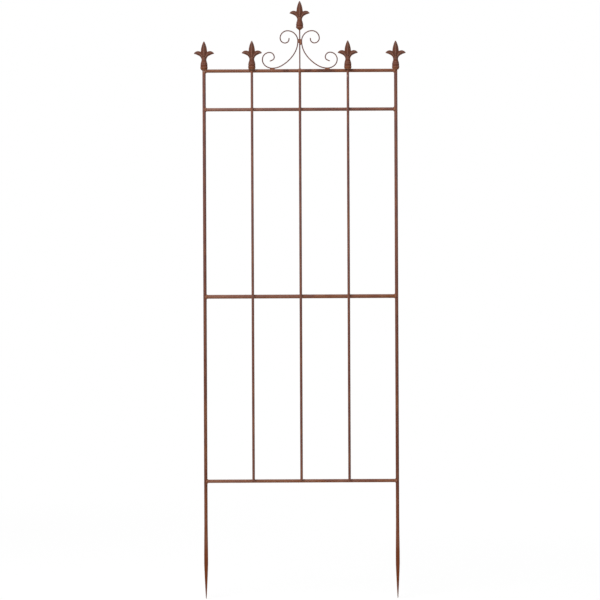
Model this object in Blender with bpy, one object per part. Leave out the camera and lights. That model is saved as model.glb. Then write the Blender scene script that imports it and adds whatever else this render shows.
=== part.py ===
"""A garden trellis for climbing plants, welded from round rusted steel bar.

Two posts end in forged spade tips and carry four rails between them. Three lighter
rods lie in front of the rails. Cast lily finials cap the posts, the two outer rods
and a thin centre stem, which a pair of wire scrolls holds from both sides.

Metres, +Z up. Posts and rails stand in the plane y = 0, and the front faces -Y. The
origin is midway between the tips of the two legs.
"""

import math

import bmesh
import bpy
from mathutils import Matrix, Vector
from mathutils.geometry import interpolate_bezier

# Frame layout, between centre lines
POST_SPACING = 0.481
LEG_LENGTH = 0.295
LOWER_BAY = 0.463
UPPER_BAY = 0.4695
CROWN_BAY = 0.097

# Bar and wire sizes
POST_DIAMETER = 0.0085
RAIL_DIAMETER = 0.0085
MIDDLE_RAIL_DIAMETER = 0.0098
ROD_DIAMETER = 0.0065
STEM_DIAMETER = 0.0033
SCROLL_WIRE_DIAMETER = 0.0028

# Forged spade tip of each leg, from the point upwards
TIP_WIDTH = 0.0016
BLADE_WIDTH = 0.0099
BLADE_THICKNESS = 0.0050
BLADE_TAPER_LENGTH = 0.088
BLADE_FLAT_LENGTH = 0.016
BLADE_SPREAD_LENGTH = 0.093
BLADE_TAPER_BULGE = 0.3

# Cast lily finial, from its foot upwards
FINIAL_LIFT = 0.0015
FINIAL_CONE_HEIGHT = 0.0065
FLANGE_DIAMETER = 0.0192
FLANGE_THICKNESS = 0.0018
BELL_DIAMETER = 0.0177
BELL_HEIGHT = 0.0160
BELL_BEAD_HEIGHT = 0.0014
BELL_BEAD_RELIEF = 0.0004
NECK_DIAMETER = 0.0125
PETAL_RISE = 0.0240
PETAL_SPAN = 0.0508
PETAL_DEPTH = 0.0126
PETAL_THICKNESS = 0.0068
PETAL_DROOP = 0.0060
SPEAR_RISE = 0.0252
SPEAR_WIDTH = 0.0162
SPEAR_THICKNESS = 0.0084
CAST_POINT = 0.0014
SOCKET_DEPTH = 0.0150
SOCKET_LIP = 0.0005

# Finial shape, as shares of the sizes above
BELL_BEADS_AT = (0.35, 0.52, 0.69)
BELL_SHOULDER_AT = 0.86
BELL_ROUNDNESS = 0.8
CALYX_PROFILE = ((1, 0), (0.97, 0.12), (0.74, 0.28), (0.34, 0.43), (0, 0.48))
SPEAR_WIDEST_AT = 1.07
SPEAR_ROOT_AT = 0.85
SPEAR_ROOT_WIDTH = 0.4
SPEAR_SIDE_POWER = 1.9
SPEAR_POINT_POWER = 0.91
PETAL_ROOT_AT = 0.5
PETAL_ROOT_FULLNESS = 0.42
PETAL_FULL_AT = 0.68
PETAL_RISE_HANDLE = (-0.01, 0.60)
PETAL_TIP_HANDLE = (-0.24, 0.30)
PETAL_BLUNTNESS = 6
LEAF_RIDGE_POWER = 1.45

# Wire scrolls: tangent arcs as (radius, sweep in degrees), from the stem outwards
SCROLL_UPPER_ARCS = ((0.0264, 90), (0.0188, 90), (0.0126, 90), (0.0101, 85), (0.0300, 7))
SCROLL_SWEEP_ARCS = ((0.0603, 33), (0.0920, 29), (0.0466, 28))
SCROLL_LOWER_ARCS = ((0.0280, 40), (0.0205, 50), (0.0182, 90), (0.0122, 90), (0.0080, 60), (0.0300, 16))
SCROLL_STEM_GAP = 0.00175
SCROLL_RAIL_GAP = 0.0009
SCROLL_UNDER_PETAL = 0.0004
STEM_ABOVE_SCROLLS = 0.0014

# Weld beads and the air left between touching pieces
WELD_LEG = 0.0016
RAIL_WELD_REACH = 0.0032
CROSSING_WELD_DEPTH = 0.0026
CROSSING_WELD_OVERHANG = 0.0010
SCROLL_WELD_COVER = 0.8
SCROLL_FOOT_WELD_LENGTH = 0.0125
LEFT_STEM_WELD_LENGTH = 0.0105
RIGHT_STEM_WELD_LENGTH = 0.0155
CLEARANCE = 0.0003

# Facets
BAR_SIDES = 16
TAPER_RINGS_AT = (0, 0.25, 0.5, 0.75, 0.9, 1)
SPREAD_RINGS = 6
WIRE_SIDES_RESOLUTION = 2
DEGREES_PER_WIRE_POINT = 14
WIRE_STEP = 0.007
LEAF_SIDES = 10
SPEAR_RINGS_AT = (1, 0.86, 0.72, 0.6, 0.5, 0.36, 0.22, 0.11, 0.04, 0)
PETAL_RINGS = 10
BEAD_SEGMENTS = 12
BEAD_RINGS = 6
SMOOTH_ANGLE = math.radians(40)

ROD_NAMES = ("left_rod", "centre_rod", "right_rod")

# Places that follow from the sizes above
POST_X = POST_SPACING / 2
BAY_WIDTH = POST_SPACING / (len(ROD_NAMES) + 1)
FRAME_FRONT_Y = -RAIL_DIAMETER / 2
ROD_Y = FRAME_FRONT_Y - CLEARANCE - ROD_DIAMETER / 2
BOTTOM_RAIL_Z = LEG_LENGTH
MIDDLE_RAIL_Z = BOTTOM_RAIL_Z + LOWER_BAY
UPPER_RAIL_Z = MIDDLE_RAIL_Z + UPPER_BAY
TOP_RAIL_Z = UPPER_RAIL_Z + CROWN_BAY
TOP_RAIL_CREST_Z = TOP_RAIL_Z + RAIL_DIAMETER / 2
BELL_FOOT_Z = FINIAL_CONE_HEIGHT + FLANGE_THICKNESS
NECK_Z = BELL_FOOT_Z + BELL_HEIGHT
PETAL_TOP_Z = NECK_Z + PETAL_RISE
FINIAL_HEIGHT = PETAL_TOP_Z + SPEAR_RISE
FINIAL_FOOT_Z = TOP_RAIL_Z + FINIAL_LIFT


def clear_scene():
    for item in list(bpy.data.objects):
        bpy.data.objects.remove(item, do_unlink=True)


def make_material(name, colour, roughness, metallic):
    material = bpy.data.materials.new(name)
    material.use_nodes = True
    shader = material.node_tree.nodes["Principled BSDF"]
    shader.inputs["Base Color"].default_value = (*colour, 1.0)
    shader.inputs["Roughness"].default_value = roughness
    shader.inputs["Metallic"].default_value = metallic
    return material


def add_object(name, mesh, material=None):
    """Link a mesh as a smooth-shaded object with one material."""
    item = bpy.data.objects.new(name, mesh)
    bpy.context.scene.collection.objects.link(item)
    mesh.shade_smooth()
    mesh.set_sharp_from_angle(angle=SMOOTH_ANGLE)
    if material:
        mesh.materials.append(material)
    return item


def mesh_from(bm, name):
    bmesh.ops.recalc_face_normals(bm, faces=bm.faces)
    mesh = bpy.data.meshes.new(name)
    bm.to_mesh(mesh)
    bm.free()
    return mesh


def as_tool(item):
    """Mark an object as a cutter or a joining shape that isn't a piece by itself."""
    item.hide_render = True
    item.display_type = "WIRE"
    return item


def combine(target, tools, operation):
    for tool in tools:
        modifier = target.modifiers.new(f"{operation.lower()}_{tool.name}", "BOOLEAN")
        modifier.operation = operation
        modifier.solver = "EXACT"
        modifier.object = tool


def cut(target, *tools):
    combine(target, tools, "DIFFERENCE")


def join(target, *tools):
    combine(target, tools, "UNION")


def round_bar_mesh(name, start, end, radius):
    """A straight bar with square-cropped ends between two points."""
    start = Vector(start)
    end = Vector(end)
    along = end - start
    turn = along.to_track_quat("Z", "Y").to_matrix().to_4x4()
    place = Matrix.Translation((start + end) / 2) @ turn
    bm = bmesh.new()
    bmesh.ops.create_cone(
        bm,
        cap_ends=True,
        segments=BAR_SIDES,
        radius1=radius,
        radius2=radius,
        depth=along.length,
        matrix=place,
    )
    return mesh_from(bm, name)


def bar_room(name, start, end, radius):
    """The space of a bar with the clearance all round it, as a cutter."""
    start = Vector(start)
    end = Vector(end)
    beyond = (end - start).normalized() * CLEARANCE
    mesh = round_bar_mesh(name, start - beyond, end + beyond, radius + CLEARANCE)
    return as_tool(add_object(name, mesh))


def add_bar(name, start, end, radius, material):
    """A round bar as a piece, and the room that it takes from its neighbours."""
    piece = add_object(name, round_bar_mesh(name, start, end, radius), material)
    return piece, bar_room(f"{name}_room", start, end, radius)


def loft(bm, rings):
    """Skin equal rings of points, with a flat cap on each end."""
    loops = [[bm.verts.new(point) for point in ring] for ring in rings]
    for lower, upper in zip(loops, loops[1:]):
        for i, vertex in enumerate(lower):
            following = (i + 1) % len(lower)
            bm.faces.new((vertex, lower[following], upper[following], upper[i]))
    bm.faces.new(reversed(loops[0]))
    bm.faces.new(loops[-1])


def turned_mesh(name, profile):
    """Revolve (radius, height) points about Z; the first and last lie on the axis.

    The flats lie at the given radius and face the front, back and sides.
    """
    half_turn = math.pi / BAR_SIDES
    bm = bmesh.new()
    points = []
    for radius, height in profile:
        points.append(bm.verts.new((radius, radius * math.tan(half_turn), height)))
    edges = [bm.edges.new(pair) for pair in zip(points, points[1:])]
    bmesh.ops.spin(
        bm,
        geom=points + edges,
        cent=(0, 0, 0),
        axis=(0, 0, 1),
        angle=math.tau,
        steps=BAR_SIDES,
        use_merge=True,
    )
    bmesh.ops.remove_doubles(bm, verts=bm.verts, dist=1e-6)
    return mesh_from(bm, name)


def ease(share):
    """A smooth step from 0 to 1."""
    return share * share * (3 - 2 * share)


# Posts

def leg_section(height):
    """Width and thickness of a post at a height above its tip."""
    spread_start = BLADE_TAPER_LENGTH + BLADE_FLAT_LENGTH
    if height <= BLADE_TAPER_LENGTH:
        share = height / BLADE_TAPER_LENGTH
        share += BLADE_TAPER_BULGE * share * (1 - share)
        return TIP_WIDTH + (BLADE_WIDTH - TIP_WIDTH) * share, BLADE_THICKNESS
    share = ease(min(1, max(0, height - spread_start) / BLADE_SPREAD_LENGTH))
    width = BLADE_WIDTH + (POST_DIAMETER - BLADE_WIDTH) * share
    return width, BLADE_THICKNESS + (POST_DIAMETER - BLADE_THICKNESS) * share


def post_mesh(name, x, top):
    """A round bar whose lower end is drawn out to a flat blade and a blunt point."""
    spread_start = BLADE_TAPER_LENGTH + BLADE_FLAT_LENGTH
    heights = [BLADE_TAPER_LENGTH * share for share in TAPER_RINGS_AT]
    for step in range(SPREAD_RINGS + 1):
        heights.append(spread_start + BLADE_SPREAD_LENGTH * step / SPREAD_RINGS)
    heights.append(top)
    rings = []
    for height in heights:
        width, thickness = leg_section(height)
        ring = []
        for side in range(BAR_SIDES):
            angle = math.tau * side / BAR_SIDES
            across = width / 2 * math.cos(angle)
            depth = width / 2 * math.sin(angle)
            depth = max(-thickness / 2, min(thickness / 2, depth))
            ring.append((x + across, depth, height))
        rings.append(ring)
    bm = bmesh.new()
    loft(bm, rings)
    return mesh_from(bm, name)


def add_post(name, x, material):
    """A post up into its finial's socket, and the room it takes at the welds."""
    top = FINIAL_FOOT_Z + SOCKET_DEPTH - CLEARANCE
    piece = add_object(name, post_mesh(name, x, top), material)
    room = bar_room(f"{name}_room", (x, 0, LEG_LENGTH / 2), (x, 0, top), POST_DIAMETER / 2)
    return piece, room


# Rails and rods

def rail_axis(name):
    """Height, depth and radius of a rail; all rails share one front face."""
    radius = (MIDDLE_RAIL_DIAMETER if name == "middle_rail" else RAIL_DIAMETER) / 2
    height = {
        "bottom_rail": BOTTOM_RAIL_Z,
        "middle_rail": MIDDLE_RAIL_Z,
        "upper_rail": UPPER_RAIL_Z,
        "top_rail": TOP_RAIL_Z,
    }[name]
    return height, FRAME_FRONT_Y + radius, radius


def add_rail(name, material):
    height, y, radius = rail_axis(name)
    reach = POST_X - POST_DIAMETER / 2 - CLEARANCE
    return add_bar(name, (-reach, y, height), (reach, y, height), radius, material)


def rod_x(index):
    return -POST_X + BAY_WIDTH * (index + 1)


def add_rod(name, index, capped, material):
    """A rod in front of the rails; a capped one runs up into its finial's socket."""
    x = rod_x(index)
    top = FINIAL_FOOT_Z + SOCKET_DEPTH - CLEARANCE if capped else TOP_RAIL_Z
    return add_bar(name, (x, ROD_Y, BOTTOM_RAIL_Z), (x, ROD_Y, top), ROD_DIAMETER / 2, material)


# Finials

def bell_radius(height):
    """Outer radius of the bell at a height above the finial's foot."""
    share = (height - BELL_FOOT_Z) / BELL_HEIGHT
    fall = math.cos(share * math.pi / 2) ** BELL_ROUNDNESS
    return (NECK_DIAMETER + (BELL_DIAMETER - NECK_DIAMETER) * fall) / 2


def finial_body_mesh(name, bore_radius):
    """The turned lower half: socket, cone, flange, beaded bell, neck and calyx."""
    profile = [
        (0, SOCKET_DEPTH),
        (bore_radius, SOCKET_DEPTH),
        (bore_radius, 0),
        (bore_radius + SOCKET_LIP, 0),
        (FLANGE_DIAMETER / 2, FINIAL_CONE_HEIGHT),
        (FLANGE_DIAMETER / 2, BELL_FOOT_Z),
        (BELL_DIAMETER / 2, BELL_FOOT_Z + BELL_BEAD_HEIGHT / 2),
    ]
    for share in BELL_BEADS_AT:
        middle = BELL_FOOT_Z + BELL_HEIGHT * share
        for offset, relief in ((-0.5, 0), (0, BELL_BEAD_RELIEF), (0.5, 0)):
            height = middle + offset * BELL_BEAD_HEIGHT
            profile.append((bell_radius(height) + relief, height))
    shoulder = BELL_FOOT_Z + BELL_HEIGHT * BELL_SHOULDER_AT
    profile.append((bell_radius(shoulder), shoulder))
    for width, rise in CALYX_PROFILE:
        profile.append((NECK_DIAMETER / 2 * width, NECK_Z + PETAL_RISE * rise))
    return turned_mesh(name, profile)


def leaf_ring(centre, across, half_width, half_thickness):
    """A leaf section with a ridge front and back and a blunt edge on each side."""
    half_turn = math.pi / LEAF_SIDES
    blunt = math.cos(half_turn) ** LEAF_RIDGE_POWER
    ring = []
    for side in range(LEAF_SIDES):
        angle = math.tau * side / LEAF_SIDES + half_turn
        c = math.cos(angle)
        s = math.sin(angle)
        u = math.copysign(abs(c) ** LEAF_RIDGE_POWER, c) / blunt * half_width
        v = math.copysign(abs(s) ** LEAF_RIDGE_POWER, s) * half_thickness
        ring.append(centre + across * u + Vector((0, v, 0)))
    return ring


def leaf_section(centre, across, width, fullness, thickness):
    """A leaf ring between the cast point, at fullness 0, and the full section."""
    half_width = (CAST_POINT + (width - CAST_POINT) * fullness) / 2
    half_thickness = (CAST_POINT + (thickness - CAST_POINT) * fullness) / 2
    return leaf_ring(centre, across, half_width, half_thickness)


def spear_mesh(name):
    """The middle leaf: a lance point that narrows again between the petals."""
    widest = SPEAR_RISE * SPEAR_WIDEST_AT
    length = SPEAR_RISE + PETAL_RISE * SPEAR_ROOT_AT
    rings = []
    for share in SPEAR_RINGS_AT:
        down = length * share
        if down < widest:
            fullness = 1 - (1 - down / widest) ** SPEAR_SIDE_POWER
            fullness = fullness**SPEAR_POINT_POWER
        else:
            narrowing = ease((down - widest) / (length - widest))
            fullness = 1 - (1 - SPEAR_ROOT_WIDTH) * narrowing
        centre = Vector((0, 0, FINIAL_HEIGHT - down))
        across = Vector((1, 0, 0))
        rings.append(leaf_section(centre, across, SPEAR_WIDTH, fullness, SPEAR_THICKNESS))
    bm = bmesh.new()
    loft(bm, rings)
    return mesh_from(bm, name)


def petal_path():
    """Centre line of the right petal, from its root in the neck to its drooping tip."""
    root = Vector((NECK_DIAMETER / 2 * PETAL_ROOT_AT, 0, NECK_Z))
    tip = Vector((PETAL_SPAN / 2, 0, PETAL_TOP_Z - PETAL_DROOP))
    handles = []
    for end, (out, up) in ((root, PETAL_RISE_HANDLE), (tip, PETAL_TIP_HANDLE)):
        handles.append(end + Vector((PETAL_SPAN * out, 0, PETAL_RISE * up)))
    return interpolate_bezier(root, *handles, tip, PETAL_RINGS)


def petal_mesh(name, mirror):
    """A side leaf that rises from the neck, spreads and droops to a blunt point."""
    path = petal_path()
    rings = []
    for step, point in enumerate(path):
        share = step / (len(path) - 1)
        before = path[max(0, step - 1)]
        after = path[min(len(path) - 1, step + 1)]
        along = (after - before).normalized()
        swell = ease(min(1, share / PETAL_FULL_AT))
        fullness = PETAL_ROOT_FULLNESS + (1 - PETAL_ROOT_FULLNESS) * swell
        fullness *= 1 - share**PETAL_BLUNTNESS
        centre = Vector((point.x * mirror, 0, point.z))
        across = Vector((along.z * mirror, 0, -along.x))
        rings.append(leaf_section(centre, across, PETAL_DEPTH, fullness, PETAL_THICKNESS))
    bm = bmesh.new()
    loft(bm, rings)
    return mesh_from(bm, name)


def add_finial(name, foot, bar_radius, material):
    """A lily finial on the end of a bar, and the room that its lower half takes."""
    bore_radius = bar_radius + CLEARANCE
    finial = add_object(name, finial_body_mesh(name, bore_radius), material)
    finial.location = foot
    leaves = (
        spear_mesh(f"{name}_spear"),
        petal_mesh(f"{name}_left_petal", -1),
        petal_mesh(f"{name}_right_petal", 1),
    )
    for leaf in leaves:
        tool = as_tool(add_object(leaf.name, leaf))
        tool.location = foot
        join(finial, tool)
    room = turned_mesh(
        f"{name}_room",
        [
            (0, -CLEARANCE),
            (bore_radius + SOCKET_LIP + CLEARANCE, -CLEARANCE),
            (FLANGE_DIAMETER / 2 + CLEARANCE, FINIAL_CONE_HEIGHT - CLEARANCE),
            (FLANGE_DIAMETER / 2 + CLEARANCE, NECK_Z),
            (0, NECK_Z),
        ],
    )
    room = as_tool(add_object(f"{name}_room", room))
    room.location = foot
    return finial, room


# Scrolls

def tangent_arcs(start, heading, arcs, scale):
    """Points along arcs that follow each other smoothly, all bending left."""
    points = [Vector(start)]
    for radius, sweep in arcs:
        radius *= scale
        sweep = math.radians(sweep)
        turn_steps = round(math.degrees(sweep) / DEGREES_PER_WIRE_POINT)
        steps = max(turn_steps, round(radius * sweep / WIRE_STEP))
        inward = Vector((-math.sin(heading), math.cos(heading)))
        centre = points[-1] + inward * radius
        for step in range(1, steps + 1):
            angle = heading + sweep * step / steps - math.pi / 2
            points.append(centre + Vector((math.cos(angle), math.sin(angle))) * radius)
        heading += sweep
    return points


def scroll_route(scale):
    """The right scroll's centre line, its stem touch at (0, 0) and its rail touch.

    It leaves the stem downwards, bending left out to the rail and into the lower
    curl. The upper curl is the mirror image of a left-hand bend, so it is flipped.
    """
    down = tangent_arcs((0, 0), -math.pi / 2, SCROLL_SWEEP_ARCS, scale)
    rail_touch = down[-1].copy()
    lower = tangent_arcs(rail_touch, 0, SCROLL_LOWER_ARCS, scale)
    upper = tangent_arcs((0, 0), -math.pi / 2, SCROLL_UPPER_ARCS, scale)
    upper = [Vector((point.x, -point.y)) for point in upper]
    return upper[:0:-1] + down + lower[1:], rail_touch


def scroll_layout():
    """Scale, stem touch and rail touch of the right scroll.

    The lower curl reaches just under the petal tip of the next finial, the wire
    passes the stem at its weld gap, and the lowest point stands on the top rail.
    """
    wire = SCROLL_WIRE_DIAMETER / 2
    touch_x = STEM_DIAMETER / 2 + SCROLL_STEM_GAP + wire
    reach = BAY_WIDTH - PETAL_SPAN / 2 + SCROLL_UNDER_PETAL - wire
    natural, _ = scroll_route(1)
    scale = (reach - touch_x) / max(point.x for point in natural)
    route, rail_touch = scroll_route(scale)
    touch_z = TOP_RAIL_CREST_Z + SCROLL_RAIL_GAP + wire - rail_touch.y
    points = [Vector((touch_x + point.x, 0, touch_z + point.y)) for point in route]
    foot_x = touch_x + rail_touch.x
    return points, touch_z, foot_x


def wire_mesh(name, points, radius, mirror):
    """Round wire along a route, mirrored for the left-hand scroll."""
    curve = bpy.data.curves.new(name, "CURVE")
    curve.dimensions = "3D"
    curve.bevel_depth = radius
    curve.bevel_resolution = WIRE_SIDES_RESOLUTION
    curve.use_fill_caps = True
    spline = curve.splines.new("POLY")
    spline.points.add(len(points) - 1)
    for target, point in zip(spline.points, points):
        target.co = (point.x * mirror, point.y, point.z, 1)
    carrier = bpy.data.objects.new(name, curve)
    bpy.context.scene.collection.objects.link(carrier)
    carrier_now = carrier.evaluated_get(bpy.context.evaluated_depsgraph_get())
    bm = bmesh.new()
    bm.from_mesh(carrier_now.to_mesh())
    bpy.data.objects.remove(carrier, do_unlink=True)
    bmesh.ops.remove_doubles(bm, verts=bm.verts, dist=1e-6)
    return mesh_from(bm, name)


def add_scroll(name, points, mirror, material):
    wire = SCROLL_WIRE_DIAMETER / 2
    piece = add_object(name, wire_mesh(name, points, wire, mirror), material)
    room = wire_mesh(f"{name}_room", points, wire + CLEARANCE, mirror)
    return piece, as_tool(add_object(f"{name}_room", room))


# Welds

def add_weld(name, centre, half_axes, neighbours, material):
    """A lump of weld metal, cut back from the pieces that it joins."""
    bm = bmesh.new()
    place = Matrix.Translation(centre) @ Matrix.Diagonal((*half_axes, 1))
    bmesh.ops.create_uvsphere(
        bm,
        u_segments=BEAD_SEGMENTS,
        v_segments=BEAD_RINGS,
        radius=1,
        matrix=place,
    )
    weld = add_object(name, mesh_from(bm, name), material)
    cut(weld, *neighbours)
    return weld


def weld_rail_ends(rooms, finial_rooms, material):
    """Ring fillets where the square rail ends meet the round posts."""
    for rail in ("bottom_rail", "middle_rail", "upper_rail", "top_rail"):
        height, y, radius = rail_axis(rail)
        for side, mirror in (("left", -1), ("right", 1)):
            neighbours = [rooms[f"{side}_post"], rooms[rail]]
            if rail == "top_rail":
                neighbours.append(finial_rooms[f"{side}_post_finial"])
            add_weld(
                f"{side}_{rail}_weld",
                (mirror * (POST_X - POST_DIAMETER / 2), y, height),
                (RAIL_WELD_REACH, radius + WELD_LEG, radius + WELD_LEG),
                neighbours,
                material,
            )


def weld_rods(rooms, finial_rooms, material):
    """Beads in the corners where each rod crosses or ends on a rail.

    On the bottom and top rails a bead lies on the side that the rod comes from.
    """
    for index, rod in enumerate(ROD_NAMES):
        for rail in ("bottom_rail", "middle_rail", "upper_rail", "top_rail"):
            height, _, radius = rail_axis(rail)
            below = above = radius + CROSSING_WELD_OVERHANG
            neighbours = [rooms[rail], rooms[rod]]
            if rail == "bottom_rail":
                below = WELD_LEG
            if rail == "top_rail":
                above = WELD_LEG
                if f"{rod}_finial" in finial_rooms:
                    neighbours.append(finial_rooms[f"{rod}_finial"])
            add_weld(
                f"{rod}_{rail}_weld",
                (rod_x(index), FRAME_FRONT_Y - CLEARANCE / 2, height + (above - below) / 2),
                (ROD_DIAMETER / 2 + WELD_LEG, CROSSING_WELD_DEPTH, (above + below) / 2),
                neighbours,
                material,
            )


def weld_crown(rooms, touch_z, foot_x, material):
    """Welds of the stem's foot, the scrolls' feet and the scrolls to the stem."""
    stem = STEM_DIAMETER / 2
    wire = SCROLL_WIRE_DIAMETER / 2
    foot_rise = SCROLL_RAIL_GAP + SCROLL_WIRE_DIAMETER * SCROLL_WELD_COVER
    add_weld(
        "stem_foot_weld",
        (0, 0, TOP_RAIL_CREST_Z),
        (stem + WELD_LEG, stem + WELD_LEG, CROSSING_WELD_DEPTH),
        [rooms["centre_stem"], rooms["top_rail"]],
        material,
    )
    lengths = {"left": LEFT_STEM_WELD_LENGTH, "right": RIGHT_STEM_WELD_LENGTH}
    for side, mirror in (("left", -1), ("right", 1)):
        add_weld(
            f"{side}_scroll_foot_weld",
            (mirror * foot_x, 0, TOP_RAIL_CREST_Z),
            (SCROLL_FOOT_WELD_LENGTH / 2, wire + WELD_LEG, foot_rise),
            [rooms[f"{side}_scroll"], rooms["top_rail"]],
            material,
        )
        hang = lengths[side] / 2 - LEFT_STEM_WELD_LENGTH / 2
        add_weld(
            f"{side}_scroll_stem_weld",
            (mirror * (stem + SCROLL_STEM_GAP / 2), 0, touch_z - hang),
            (SCROLL_STEM_GAP / 2 + wire, wire + CLEARANCE, lengths[side] / 2),
            [rooms[f"{side}_scroll"], rooms["centre_stem"]],
            material,
        )


def build_trellis():
    clear_scene()
    bar_steel = make_material("rusted_bar", (0.19, 0.095, 0.070), 0.72, 0.35)
    cast_iron = make_material("rusted_casting", (0.17, 0.080, 0.055), 0.75, 0.30)
    weld_metal = make_material("weld_metal", (0.25, 0.105, 0.055), 0.70, 0.35)

    rooms = {}
    for name, x in (("left_post", -POST_X), ("right_post", POST_X)):
        _, rooms[name] = add_post(name, x, bar_steel)
    for name in ("bottom_rail", "middle_rail", "upper_rail", "top_rail"):
        _, rooms[name] = add_rail(name, bar_steel)
    middle = len(ROD_NAMES) // 2
    for index, name in enumerate(ROD_NAMES):
        _, rooms[name] = add_rod(name, index, index != middle, bar_steel)

    points, touch_z, foot_x = scroll_layout()
    for name, mirror in (("left_scroll", -1), ("right_scroll", 1)):
        _, rooms[name] = add_scroll(name, points, mirror, bar_steel)
    crown_foot_z = max(point.z for point in points) + STEM_ABOVE_SCROLLS
    stem_foot = (0, 0, TOP_RAIL_CREST_Z + CLEARANCE)
    stem_top = (0, 0, crown_foot_z + SOCKET_DEPTH - CLEARANCE)
    _, rooms["centre_stem"] = add_bar(
        "centre_stem", stem_foot, stem_top, STEM_DIAMETER / 2, bar_steel
    )

    finials = {
        "left_post_finial": ((-POST_X, 0, FINIAL_FOOT_Z), POST_DIAMETER / 2),
        "right_post_finial": ((POST_X, 0, FINIAL_FOOT_Z), POST_DIAMETER / 2),
        "centre_finial": ((0, 0, crown_foot_z), STEM_DIAMETER / 2),
    }
    for index, name in enumerate(ROD_NAMES):
        if index != middle:
            place = (rod_x(index), ROD_Y, FINIAL_FOOT_Z)
            finials[f"{name}_finial"] = (place, ROD_DIAMETER / 2)
    finial_rooms = {}
    for name, (foot, bar_radius) in finials.items():
        finial, finial_rooms[name] = add_finial(name, foot, bar_radius, cast_iron)
        if name != "centre_finial":
            cut(finial, rooms["top_rail"])

    weld_rail_ends(rooms, finial_rooms, weld_metal)
    weld_rods(rooms, finial_rooms, weld_metal)
    weld_crown(rooms, touch_z, foot_x, weld_metal)


build_trellis()
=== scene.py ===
"""A rusted garden trellis with lily finials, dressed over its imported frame.

Metres, +Z up, the front faces -Y. Every piece stands where its solid stands.
"""

import math
import random

import bmesh
import bpy
import numpy as np
from mathutils import Matrix, Vector
from mathutils.geometry import interpolate_bezier


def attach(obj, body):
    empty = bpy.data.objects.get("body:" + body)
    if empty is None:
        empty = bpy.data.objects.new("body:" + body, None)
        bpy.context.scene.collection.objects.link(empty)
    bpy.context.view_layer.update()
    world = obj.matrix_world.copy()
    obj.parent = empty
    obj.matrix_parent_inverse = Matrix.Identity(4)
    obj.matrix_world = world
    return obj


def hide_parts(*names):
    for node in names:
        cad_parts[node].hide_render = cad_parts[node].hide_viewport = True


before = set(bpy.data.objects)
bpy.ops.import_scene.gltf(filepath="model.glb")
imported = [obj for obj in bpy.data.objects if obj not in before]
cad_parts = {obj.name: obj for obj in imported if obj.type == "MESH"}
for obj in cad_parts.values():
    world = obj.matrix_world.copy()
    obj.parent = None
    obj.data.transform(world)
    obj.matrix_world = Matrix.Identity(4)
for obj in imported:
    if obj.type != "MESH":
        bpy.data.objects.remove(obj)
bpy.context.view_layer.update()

# Frame layout, between centre lines
POST_X = 0.2405
ROD_X = {"left_rod": -0.12025, "centre_rod": 0.0, "right_rod": 0.12025}
ROD_Y = -0.0078
RAIL_Z = {
    "bottom_rail": 0.295,
    "middle_rail": 0.758,
    "upper_rail": 1.2275,
    "top_rail": 1.3245,
}

# Bars and wires: radii, a rail's end gap, a bar's length in its finial, worn rims
POST_RADIUS = 0.00425
RAIL_RADIUS = 0.00425
MIDDLE_RAIL_RADIUS = 0.0049
ROD_RADIUS = 0.00325
STEM_RADIUS = 0.00165
WIRE_RADIUS = 0.0014
RAIL_END_GAP = 0.0002
SOCKET_GRIP = 0.012
RIM_WEAR = 0.0007

# Sides round each bar, and the steps along it, shorter where a leg is forged
POST_SIDES = 32
RAIL_SIDES = 28
ROD_SIDES = 24
STEM_SIDES = 20
WIRE_SIDES = 16
BAR_STEP = 0.0018
STEM_STEP = 0.0012
WIRE_STEP = 0.0011
FORGED_STEP = 0.0011
POST_STEP = 0.0020
FORGED_HEIGHT = 0.22

# Forged spade tip of each leg, and its corners and hammer marks
TIP_WIDTH = 0.0016
BLADE_WIDTH = 0.0099
BLADE_THICKNESS = 0.0050
BLADE_TAPER_LENGTH = 0.088
BLADE_FLAT_LENGTH = 0.016
BLADE_SPREAD_LENGTH = 0.093
BLADE_TAPER_BULGE = 0.3
TIP_RINGS = (0, 0.0006, 0.0016)
TIP_SHARE = 0.55
TIP_ROUNDING = 0.006
CORNER_SHARPNESS = 7
HAMMER_SPREAD = 0.05

# Cast lily finial
FINIAL_FOOT_Z = 1.3260
CONE_HEIGHT = 0.0065
FLANGE_RADIUS = 0.0096
FLANGE_THICKNESS = 0.0018
BELL_RADIUS = 0.00905
BELL_HEIGHT = 0.0160
BELL_BEADS_AT = (0.35, 0.52, 0.69)
BEAD_HEIGHT = 0.0016
BEAD_RELIEF = 0.00055
NECK_RADIUS = 0.0063
PETAL_RISE = 0.0240
PETAL_SPAN = 0.0504
PETAL_DEPTH = 0.0120
PETAL_THICKNESS = 0.0068
PETAL_DROOP = 0.0060
SPEAR_RISE = 0.0252
SPEAR_WIDTH = 0.0163
SPEAR_THICKNESS = 0.0086
CAST_POINT = 0.0016
SOCKET_WALL = 0.0010
FOOT_ROUNDING = 0.0004
FLANGE_ROUNDING = 0.0006
FLANGE_OVER_CONE = 0.0003
BELL_UNDER_FLANGE = 0.0002
BELL_SEAT = 0.0003
CAST_MARGIN = 0.0001
SPEAR_CROP = 0.0002
BELL_FOOT_Z = CONE_HEIGHT + FLANGE_THICKNESS
NECK_Z = BELL_FOOT_Z + BELL_HEIGHT
PETAL_TOP_Z = NECK_Z + PETAL_RISE
FINIAL_HEIGHT = PETAL_TOP_Z + SPEAR_RISE
CAST_VOXEL = 0.00036
CAST_SMOOTHING = 10
CAST_FOLD_REACH = 12
TURNED_SIDES = 72
LEAF_SIDES = 28
SPEAR_STEPS = 44
PETAL_STEPS = 40

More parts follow.
